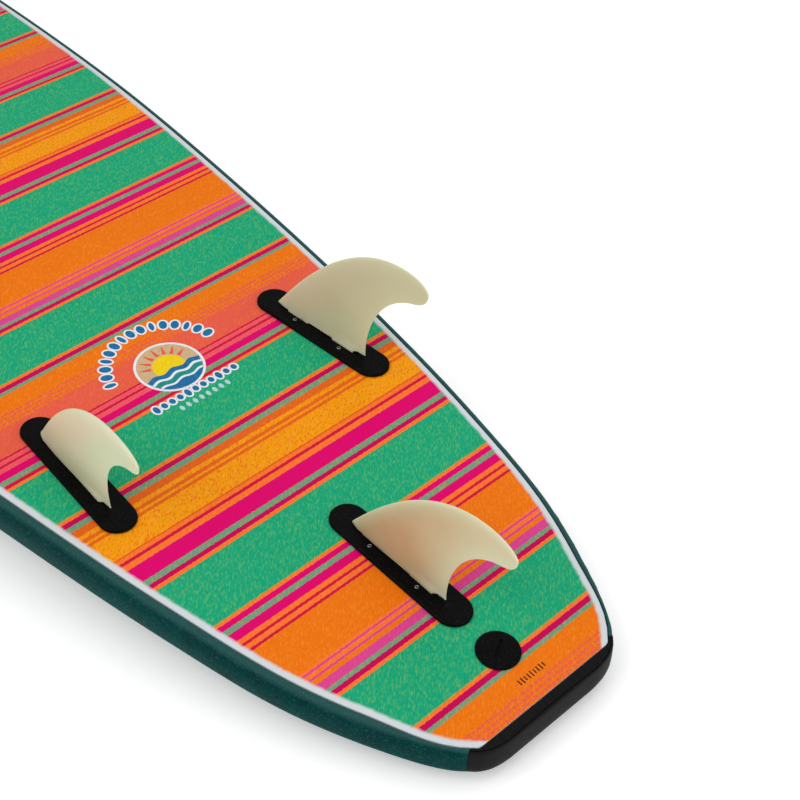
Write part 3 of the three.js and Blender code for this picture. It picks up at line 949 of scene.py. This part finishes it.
PLATE_ROOM = (154, 32)  # hole in the bottom sheets under a fin plate
CAP_ROOM = 12  # and its radius under the disc


def fitting_cutters():
    """Prisms through the bottom sheets under each fin plate and the leash plug's disc."""
    cutters = []
    for name in FIN_NAMES:
        length, width = PLATE_ROOM
        plate = FRAMES[name]["plate"]
        cutters.append(cutter([at(plate, pill(length, width, h)) for h in (-12, 12)]))
    cutters.append(cutter([at(FRAMES["cap"], circle(CAP_ROOM, h, 32)) for h in (-12, 12)]))
    return cutters


def drop_unused(cutters, low, high):
    """The cutters that reach between two stations. The others are removed."""
    kept = []
    for tool in cutters:
        xs = [v.co.x for v in tool.data.vertices]
        if max(xs) > TAIL_X - high * MM and min(xs) < TAIL_X - low * MM:
            kept.append(tool)
        else:
            bpy.data.objects.remove(tool)
    return kept


def make_slick(material):
    edge = slick_outline(GAP)
    low, high = FLANGE + GAP, edge[-1].x
    stations = row_stations(low, high, 11, True, True)
    sections = sheet_rows(edge, stations, 0, SLICK, 24, {stations[0]})
    piece = loft("bottom_slick", sections, material)
    boolean(piece, fitting_cutters())
    finish_piece(piece, "board", ["bottom_slick"], 40)


FILM_TOP = -0.14
FILM_BOTTOM = -0.03
FILM_INSET = 1.3
FILM_PANELS = 4


def make_print(material):
    """The print in panels that meet end to end, with each point's distance from the rail edge."""
    edge = slick_outline(GAP + FILM_INSET)
    rail_edge = [p for p in spaced(slick_outline(GAP), 2) if p.x > FLANGE + GAP]
    tree = KDTree(2 * len(rail_edge))
    for i, p in enumerate(rail_edge):
        tree.insert((p.x, p.y, 0), 2 * i)
        tree.insert((p.x, -p.y, 0), 2 * i + 1)
    tree.balance()
    low, high = FLANGE + GAP, edge[-1].x
    for panel in range(FILM_PANELS):
        start = lerp(low, high, panel / FILM_PANELS)
        end = lerp(low, high, (panel + 1) / FILM_PANELS)
        stations = row_stations(start, end, 8, False, panel == FILM_PANELS - 1)
        sections = sheet_rows(edge, stations, FILM_TOP, FILM_BOTTOM, 72, set())
        piece = loft(f"print_{panel + 1}", sections, material)
        cutters = drop_unused(fitting_cutters(), start, end)
        if cutters:
            boolean(piece, cutters)
        margin = piece.data.attributes.new("margin", "FLOAT", "POINT")
        for vertex, value in zip(piece.data.vertices, margin.data):
            station, side = (TAIL_X - vertex.co.x) / MM, vertex.co.y / MM
            near = tree.find((station, side, 0))
            value.value = near[2] if station < edge[-1].x else 0
        finish_piece(piece, "board")


# ------------------------------------------------------------------ fittings

FIN_NAMES = ("centre", "left", "right")


def rocker_slope(station):
    return (rocker(station - 1) - rocker(station + 1)) / 2


def deck_slope(station):
    return rocker_slope(station) + (thickness(station - 1) - thickness(station + 1)) / 2


def fitting(box, toe=0.0, slope=rocker_slope):
    """Matrix of a fitting on the bottom face, centred on a node's box, with X towards the tail."""
    middle = (box[0] + box[1]) / 2
    station = (TAIL_X - middle.x) / MM
    origin = place(station, middle.y / MM, 0)
    lean = Matrix.Rotation(math.atan(slope(station)), 4, "Y")
    return Matrix.Translation(origin) @ lean @ Matrix.Rotation(math.radians(toe), 4, "Z")


def fitting_frames():
    plug = fitting(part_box("leash_bar"), slope=deck_slope)
    frames = {"cap": fitting(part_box("leash_cap")), "plug": plug}
    for name, side in zip(FIN_NAMES, (0, 1, -1)):
        plate = fitting(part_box(f"fin_plate_{name}"), SIDE_TOE * side)
        lean = plate @ Matrix.Rotation(-math.radians(SIDE_CANT * side), 4, "X")
        flip = Matrix.Diagonal((1, -1 if side < 0 else 1, 1, 1))
        frames[name] = {"plate": plate, "fin": lean @ flip, "side": side}
    return frames


FRAMES = fitting_frames()


def screw_matrix(fin, centre):
    place_mm = Vector((centre, -SCREW["offset"], SCREW["head"])) * MM
    tilt = Matrix.Rotation(-math.radians(SCREW["tilt"]), 4, "X")
    return fin @ Matrix.Translation(place_mm) @ tilt


def fin_plate(name, material):
    """Flange with a rolled edge on the socket box, with tab slots and screw bores."""
    plate, fin = FRAMES[name]["plate"], FRAMES[name]["fin"]
    length, width, top, foot = (PLATE[k] for k in ("length", "width", "top", "foot"))
    box_long, box_wide, box_deep = (BOX[k] for k in ("length", "width", "depth"))
    levels = [
        (box_long - 2, box_wide - 2, -box_deep), (box_long, box_wide, 1 - box_deep),
        (box_long, box_wide, foot), (length - 0.8, width - 0.8, foot),
        (length, width, foot + 0.4), (length, width, foot + 1.2),
    ]
    for degrees in (20, 40, 60, 80, 90):
        angle = math.radians(degrees)
        inset = 2 * 2.2 * (1 - math.cos(angle))
        levels.append((length - inset, width - inset, lerp(foot + 1.2, top, math.sin(angle))))
    levels.append((length - 9, width - 9, top - 0.04))
    levels.append((length - 24, width - 24, top - 0.04))
    piece = loft(f"fin_plate_{name}", [at(plate, pill(*level)) for level in levels], material)
    cutters = []
    for centre in TAB_CENTRES:
        long, wide = TAB["length"] + 2 * TAB["clear"], TAB["thickness"] + 2 * TAB["clear"]
        shift = Matrix.Translation((centre * MM, 0, 0))
        steps = [(0, TAB["bottom"] - 1), (0, top - 0.6), (0.9, top + 0.1), (0.9, 12)]
        rings = [at(fin @ shift, rounded_box(long + g, wide + g, h, 0.8)) for g, h in steps]
        cutters.append(cutter(rings))
        bore = screw_matrix(fin, centre)
        radius = SCREW["radius"] + GAP
        mouth = radius + 0.5
        steps = [(radius, -SCREW["length"] - 0.5), (radius, -0.2), (mouth, 0.5), (mouth, 9)]
        cutters.append(cutter([at(bore, circle(r, h, 32)) for r, h in steps]))
    boolean(piece, cutters)
    finish_piece(piece, "board", [f"fin_plate_{name}"], 32)


def grub_screw(name, index, material):
    """Threaded screw with a rounded rim and a hexagon socket."""
    centre, end = TAB_CENTRES[index], ("rear", "front")[index]
    matrix = screw_matrix(FRAMES[name]["fin"], centre)
    radius, length = SCREW["radius"], SCREW["length"]
    profile = [(0, -length), (radius - 0.9, -length), (radius - 0.35, -length + 0.5)]
    turns = 9
    for i in range(turns):
        low = lerp(-length + 0.7, -0.5, i / turns)
        pitch = (length - 1.2) / turns
        profile += [(radius - 0.35, low), (radius, low + pitch * 0.45), (radius, low + pitch * 0.6)]
    profile += [(radius - 0.1, -0.35), (radius - 0.3, -0.1), (radius - 0.55, 0), (0, 0)]
    piece = turned(f"grub_screw_{name}_{end}", profile, matrix, material, 40)
    hexagon = SCREW["hex"]
    mouth = hexagon + 0.3
    steps = [(hexagon, -3), (hexagon, -0.2), (mouth, 0.1), (mouth, 2)]
    rings = [at(matrix, circle(r, h, 6)) for r, h in steps]
    boolean(piece, [cutter(rings)])
    finish_piece(piece, "board", [f"grub_screw_{name}_{end}"], 32)


def fin_edges(steps):
    """Points of the leading and trailing edges from the base to the tip, as X and height."""
    tip = (116.5, 112)
    leading = bezier([(-59, FIN_BASE), (-33, 47), (16, 123.2), (81, 126.7)], 60)[:-1]
    leading += bezier([(81, 126.7), (101, 127.7), (116, 121.8), tip], 24)
    trailing = bezier([(55, FIN_BASE), (49.5, 44), (66, 85), (101, 96)], 60)[:-1]
    trailing += bezier([(101, 96), (109, 98.5), (116.5, 103), tip], 16)

    def even(points):
        pitch = sum((b - a).length for a, b in zip(points, points[1:])) / steps
        return spaced(points, pitch)

    return even(leading), even(trailing)


def foil(share):
    """Half thickness along the chord: round leading edge, thin trailing edge."""
    if share < 0.3:
        return 0.1 + 0.9 * math.sqrt(1 - (1 - share / 0.3) ** 2)
    return 0.1 + 0.9 * (1 - ((share - 0.3) / 0.7) ** 1.7)


FOOT_END = 42  # the thick foot stops here, short of the trailing edge
FOOT_STEP = 1.5
FOOT_RISE = 9  # the foot runs out into the foil over this height
DIMPLES = ((0.35, -14, 22, 140), (0.3, 18, 20, 120))  # depth, X, height and spread of each
FIN_ROWS = 64


def foot(x):
    """Half thickness of the foot, as a share of the fin's: a long straight block."""
    nose = math.sqrt(min(1, max(0, (x + 59.5) / 9)))
    return 0.88 * nose * (1 - 0.86 * smooth_step(x, FOOT_END - 1, FOOT_END + 0.6))


def make_fin(name, material):
    """Swept fin with a foil section, a stepped foot and two tabs."""
    matrix, side = FRAMES[name]["fin"], FRAMES[name]["side"]
    outside, inside = (0.5, 0.5) if side == 0 else (0.62, 0.38)
    rows = FIN_ROWS
    leading, trailing = fin_edges(rows)
    chord = [(1 - math.cos(math.pi * i / 22)) / 2 for i in range(23)]
    sections, depths = [], []
    for row in range(rows + 1):
        t = min(row / rows, 0.994)
        front, back = leading[row], trailing[row]
        if row == rows:
            front = front.lerp(leading[row - 1], 0.3)
            back = back.lerp(trailing[row - 1], 0.3)
        thick = FIN_THICK * lerp(1, 0.27, t) * (0.45 if row == rows else 1)

        def point(share, part):
            p = front.lerp(back, share)
            lift = FOOT_STEP * smooth_step(p.x, FOOT_END - 0.7, FOOT_END + 0.7)
            low = max(0, 1 - (p.y - FIN_BASE) / FOOT_RISE)
            dimple = 0
            for depth, x, height, spread in DIMPLES:
                dimple += depth * math.exp(-((p.x - x) ** 2 + (p.y - height) ** 2) / spread)
            base = smooth_step(p.y - FIN_BASE, FOOT_RISE, 0)
            full = max(foil(share), lerp(foil(share), foot(p.x), base))
            y = part * (thick * full - dimple * foil(share))
            return (p.x, y, p.y + lift * low)

        ring = [point(c, outside) for c in chord]
        ring += [point(c, -inside) for c in reversed(chord)]
        sections.append(at(matrix, ring))
        depths += [thick * foil(c) / FIN_THICK for c in [*chord, *reversed(chord)]]
    second = [p + (q - p) * 0.06 for p, q in zip(sections[0], sections[1])]
    sections[:1] = [shrink(sections[0], 0.45), second]
    depths = depths[: 2 * len(chord)] + depths
    piece = loft(f"fin_{name}", sections, material)
    tabs = []
    for centre in TAB_CENTRES:
        shift = Matrix.Translation((centre * MM, 0, 0))
        steps = [(-1, TAB["bottom"]), (0, TAB["bottom"] + 0.6), (0, FIN_BASE + 1)]
        long, wide = TAB["length"], TAB["thickness"]
        rings = [at(matrix @ shift, rounded_box(long + g, wide + g, h, 0.8)) for g, h in steps]
        tabs.append(loft("tab", rings, None))
    lookup = KDTree(len(depths))
    for i, p in enumerate(q for section in sections for q in section):
        lookup.insert(p, i)
    lookup.balance()
    boolean(piece, tabs, "UNION")
    thick = piece.data.attributes.new("thick", "FLOAT", "POINT")
    for vertex, value in zip(piece.data.vertices, thick.data):
        value.value = depths[lookup.find(vertex.co)[1]]
    finish_piece(piece, f"{name}_fin", [f"fin_{name}"], 40)


def make_leash_cap(material):
    """Domed disc with a rolled rim, a slot and a stem."""
    matrix = FRAMES["cap"]
    radius, rim, crown = CAP["radius"], CAP["rim"], CAP["crown"]
    stem = CAP["stem"]
    profile = [
        (0, -3.2), (stem, -3.2), (stem, 0.4), (radius - 0.5, 0.4), (radius - 0.1, 0.55),
        (radius, 0.8), (radius, rim),
    ]
    for i in range(1, 13):
        angle = math.pi / 2 * i / 12
        out = radius * math.cos(angle) ** 0.42 if i < 12 else 0
        profile.append((out, lerp(rim, crown, math.sin(angle))))
    piece = turned("leash_cap", profile, matrix, material, 96)
    long, wide, deep = CAP["slot"]
    turn = Matrix.Rotation(math.radians(CAP["turn"]), 4, "Z")
    floor = crown - deep
    steps = [
        (-0.4, floor), (0, floor + 0.3), (0, crown - 0.4), (0.8, crown + 0.1), (0.8, crown + 3),
    ]
    rings = [at(matrix @ turn, pill(long + g, wide + g, h, 8)) for g, h in steps]
    boolean(piece, [cutter(rings)])
    finish_piece(piece, "board", ["leash_cap"], 32)


def make_leash_plug(plastic, steel):
    """Deck-side cup on its bored post, and the bar across the cup."""
    matrix = FRAMES["plug"]
    depth, flange, thick, cup, wall, well, post, bore = PLUG.values()
    floor = -depth + well
    profile = [
        (bore, -4), (bore, floor + wall + 3), (0.01, floor + wall + 3), (0.01, floor),
        (cup - wall - 1.2, floor), (cup - wall, floor - 1.2), (cup - wall, -depth + 0.8),
        (cup - wall + 0.8, -depth), (flange - 0.8, -depth), (flange, -depth + 0.8),
        (flange, -depth + thick), (cup, -depth + thick), (cup, floor + wall), (post, floor + wall),
        (post, -4),
    ]
    sections = [at(matrix, circle(r, h)) for r, h in profile]
    piece = loft("leash_plug", sections, plastic, closed=True)
    finish_piece(piece, "board", ["leash_plug"], 32)
    half = cup - wall - GAP
    radius = LEASH_BAR / 2
    up = Matrix.Translation((0, 0, (LEASH_BAR - depth) * MM))
    across = matrix @ up @ Matrix.Rotation(math.pi / 2, 4, "X")
    ends = [(0, -half), (radius - 0.4, -half), (radius, -half + 0.4)]
    profile = ends + [(r, -h) for r, h in reversed(ends)]
    bar = turned("leash_bar", profile, across, steel, 32)
    finish_piece(bar, "board", ["leash_bar"], 32)


# ------------------------------------------------------------------ printed emblem

EMBLEM_STATION = 494
EMBLEM_SIDE = 3
LAYER = 0.05  # thickness of one layer of ink
WAVE_STEPS = 40
TICKS_STATION = 32
TICK_HALF = 0.7


def ink_object(name, shapes, material):
    """Flat shapes of one ink on the print: pairs of a layer and an outline in the plan.

    An outline has an even count of points and is filled in strips between its two halves.
    """
    vertices, faces = [], []
    for layer, outline in shapes:
        low = -FILM_TOP + LAYER * (layer + 0.2)
        start, count = len(vertices), len(outline)
        for height in (low, low + LAYER * 0.6):
            vertices += [place(EMBLEM_STATION + x, EMBLEM_SIDE + y, -height) for x, y in outline]
        for i in range(count):
            j = (i + 1) % count
            faces.append((start + i, start + j, start + count + j, start + count + i))
        for i in range(count // 2 - 1):
            strip = (i, i + 1, count - 2 - i, count - 1 - i)
            for base in (start, start + count):
                faces.append(tuple(base + corner for corner in strip))
    piece = new_object(name, vertices, faces, material)
    finish_piece(piece, "board")


def disc(radius, centre=(0, 0), count=48, stretch=(1, 1), turn=0.0):
    c, s = math.cos(math.radians(turn)), math.sin(math.radians(turn))
    points = []
    for x, y, _ in circle(radius, 0, count):
        x, y = x * stretch[0], y * stretch[1]
        points.append((centre[0] + c * x - s * y, centre[1] + s * x + c * y))
    return points


def wave_band(low, high, half, swing):
    """Band across the emblem with a wavy line along its nose side."""
    upper, lower = [], []
    for i in range(WAVE_STEPS + 1):
        y = lerp(-half, half, i / WAVE_STEPS)
        rise = swing * math.cos(y / half * math.pi * 3)
        upper.append((high + rise, y))
        lower.append((low, y))
    return upper + lower[::-1]


def inside_disc(outline, radius):
    points = []
    for x, y in outline:
        reach = math.hypot(x, y)
        scale = min(1, radius / reach) if reach else 1
        points.append((x * scale, y * scale))
    return points


def make_emblem(inks):
    """A sun over waves, under an arc of blue pebbles and over a row of them."""
    shapes = {ink: [] for ink in inks}
    shapes["white"].append((0, disc(34)))
    shapes["sand"].append((1, disc(31.5)))
    for i in range(7):
        angle = math.radians(-66 + 22 * i)
        ray = [(28.5, 0.8), (18, 6.5), (18, -6.5), (28.5, -0.8)]
        ray = [(r, angle + math.radians(turn)) for r, turn in ray]
        shapes["coral"].append((2, [(r * math.cos(a), r * math.sin(a)) for r, a in ray]))
    shapes["yellow"].append((3, disc(16.5)))
    bands = [("blue", -4, 1.6), ("white", -10, 1.5), ("teal", -13, 1.5), ("white", -19, 1.3),
             ("blue", -21.5, 1.2)]
    for i, (ink, top, swing) in enumerate(bands):
        shapes[ink].append((4 + i, inside_disc(wave_band(-32, top, 31.5, swing), 31.5)))
    for i in range(15):
        angle = math.radians(-76 + 152 * i / 14)
        long = 4.6 if i % 3 else 3.2
        middle = (60 * math.cos(angle), 60 * math.sin(angle))
        turn = math.degrees(angle)
        shapes["white"].append((0, disc(1, middle, 28, (7.6, long + 1.4), turn)))
        shapes["blue"].append((1, disc(1, middle, 28, (5.8, long - 0.6), turn)))
    for i in range(11):
        middle = (-38.5, lerp(-46, 46, i / 10))
        tall = 5.4 if i % 4 else 6.6
        shapes["white"].append((0, disc(1, middle, 28, (tall, 4.9))))
        shapes["blue"].append((1, disc(1, middle, 28, (tall - 1.8, 3))))
    for i in range(8):
        middle = (-51, lerp(-26, 28, i / 7))
        shapes["pale"].append((0, disc(1, middle, 20, (3.4, 2.1))))
    for ink, drawn in shapes.items():
        ink_object(f"emblem_{ink}", drawn, inks[ink])


def make_batch_marks(ink):
    """A row of small plain ticks near the tail."""
    shapes = []
    for i in range(9):
        x, y = TICKS_STATION - EMBLEM_STATION, -12 + 3.6 * i
        tall, low, high = (2.6, 3.0, 2.2)[i % 3], y - TICK_HALF, y + TICK_HALF
        shapes.append((0, [(x - tall, low), (x + tall, low), (x + tall, high), (x - tall, high)]))
    ink_object("batch_marks", shapes, ink)


# ------------------------------------------------------------------ stage

AIM = Vector((0.902, 0.134, 0.083))  # on the bottom face, among the fins
BEARING = -45.5  # of the camera from there, in degrees from the tail, and its height above it
ELEVATION = 40.9
ROLL = 1.5
DISTANCE = 1.55
LENS = 74.8
SENSOR = 36
FAR_CLIP = 60
FLOOR_HALF = 30
FLOOR_DROP = 0.0002  # below the board, in metres


def make_camera():
    data = bpy.data.cameras.new("camera")
    data.lens = LENS
    data.sensor_width = SENSOR
    data.clip_end = FAR_CLIP
    camera = bpy.data.objects.new("camera", data)
    bearing, elevation = math.radians(BEARING), math.radians(ELEVATION)
    level = math.cos(elevation)
    back = Vector((level * math.cos(bearing), level * math.sin(bearing), math.sin(elevation)))
    upright = back.to_track_quat("Z", "Y").to_matrix().to_4x4()
    turn = Matrix.Rotation(math.radians(ROLL), 4, back) @ upright
    camera.matrix_world = Matrix.Translation(AIM + back * DISTANCE) @ turn
    bpy.context.scene.collection.objects.link(camera)
    bpy.context.scene.camera = camera


def area_light(name, where, target, size, power):
    data = bpy.data.lights.new(name, "AREA")
    data.shape = "RECTANGLE"
    data.size, data.size_y = size
    data.energy = power
    light = bpy.data.objects.new(name, data)
    light.location = where
    light.rotation_euler = (Vector(target) - Vector(where)).to_track_quat("-Z", "Y").to_euler()
    bpy.context.scene.collection.objects.link(light)


def make_stage():
    material = floor_material()
    half = FLOOR_HALF
    corners = [(-half, -half, 0), (half, -half, 0), (half, half, 0), (-half, half, 0)]
    floor = new_object("floor", corners, [(0, 1, 2, 3)], material)
    floor.location.z = cad_low.z - FLOOR_DROP
    area_light("key", (0.6, -2.4, 3.0), (0.5, 0, 0), (2.6, 2.6), 45)
    area_light("fill", (3.4, 0.4, 1.6), (0.9, 0, 0.05), (2.2, 1.6), 14)
    area_light("top", (0.4, 0.9, 3.6), (0.4, 0, 0), (4, 4), 35)
    world = bpy.data.worlds.new("studio")
    world.use_nodes = True
    background = world.node_tree.nodes["Background"]
    background.inputs["Color"].default_value = (1, 1, 1, 1)
    background.inputs["Strength"].default_value = 0.5
    bpy.context.scene.world = world
    bpy.context.scene.view_settings.view_transform = "Standard"


# ------------------------------------------------------------------ assembly

make_camera()
make_stage()

skin = foam_skin_material()
plate_plastic = plastic_material("plate_plastic", 0.9, 0.34)
steel = steel_material()

make_slick(slick_material())
make_print(print_material())
make_rail("rail_skin_left", 1, skin)
make_rail("rail_skin_right", -1, skin)
make_deck(skin)
make_bumper(bumper_material())

for fin_name in FIN_NAMES:
    fin_plate(fin_name, plate_plastic)
    for screw in (0, 1):
        grub_screw(fin_name, screw, steel)
    make_fin(fin_name, fin_material(f"fin_nylon_{fin_name}", 0.9 if fin_name == "centre" else 0.15))
make_leash_cap(plastic_material("cap_plastic", 0.7, 0.45))
make_leash_plug(plate_plastic, steel)

make_emblem({
    "white": ink_material("ink_white", (226, 232, 240), (238, 242, 246)),
    "sand": ink_material("ink_sand", (200, 168, 124), (214, 184, 142)),
    "coral": ink_material("ink_coral", (232, 78, 60), (240, 96, 70)),
    "yellow": ink_material("ink_yellow", (236, 200, 0), (246, 214, 20)),
    "teal": ink_material("ink_teal", (20, 130, 120), (40, 150, 136)),
    "blue": ink_material("ink_blue", (18, 98, 150), (36, 118, 168)),
    "pale": ink_material("ink_pale", (170, 206, 214), (190, 218, 222)),
})
make_batch_marks(ink_material("ink_dark", (70, 30, 20), (90, 40, 26)))

for nodes, slot_material in (
    ([f"core_{part}_{side}" for part in ("inner", "outer") for side in ("left", "right")],
     core_material()),
    (("bottom_backing",), sheet_material()),
    (("stringer_centre", "stringer_left", "stringer_right"), wood_material()),
):
    for node in nodes:
        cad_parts[node].data.materials.clear()
        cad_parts[node].data.materials.append(slot_material)
